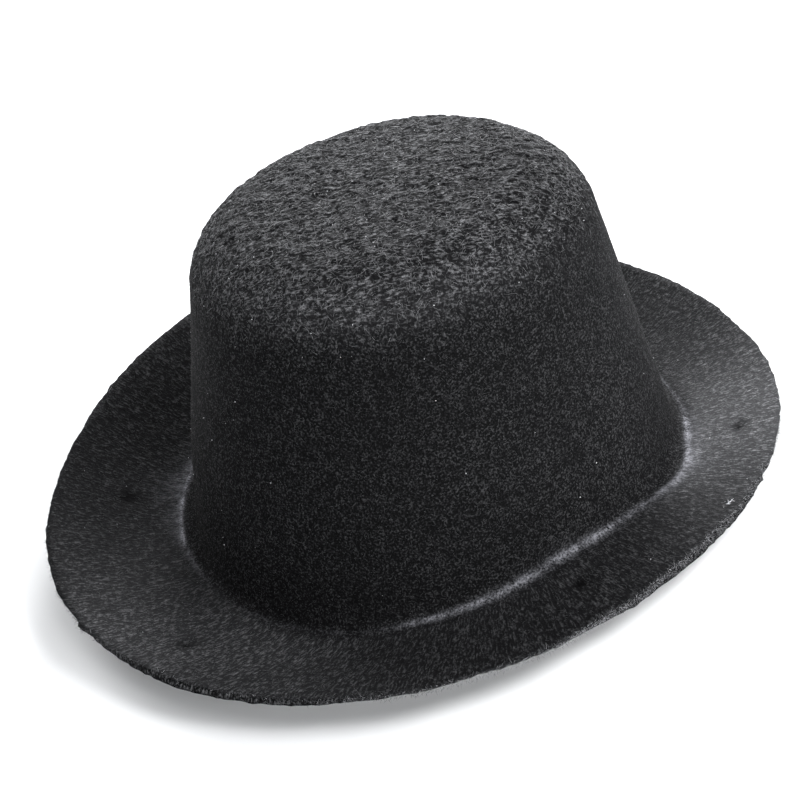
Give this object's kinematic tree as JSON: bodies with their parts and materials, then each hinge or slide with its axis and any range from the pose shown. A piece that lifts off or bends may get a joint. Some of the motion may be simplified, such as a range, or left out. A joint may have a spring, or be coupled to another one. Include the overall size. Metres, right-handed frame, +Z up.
{
  "type": "top hat",
  "caption": "Pressed felt top hat: tapered crown with a soft flat top, oval brim that curls up and stands highest at one side, and a sweatband inside.",
  "frame": {"origin": "the middle of the brim's outline, in the plane that the hat stands on", "axes": "+Z up through the crown; X along the hat's length, with the front at -X and the back at +X; the wearer's right is +Y"},
  "size_m": [0.31, 0.267, 0.1344],
  "materials": {
    "felt": "matte black needle felt with a short nap",
    "tape": "black grosgrain woven tape",
    "thread": "black spun sewing thread",
    "ribbon": "black satin ribbon"
  },
  "bodies": {
    "root": {"felt_body": "felt", "sweatband": "tape", "sweatband_thread": "thread", "joint_tab": "tape", "back_bow": "ribbon"}
  },
  "joints": []
}
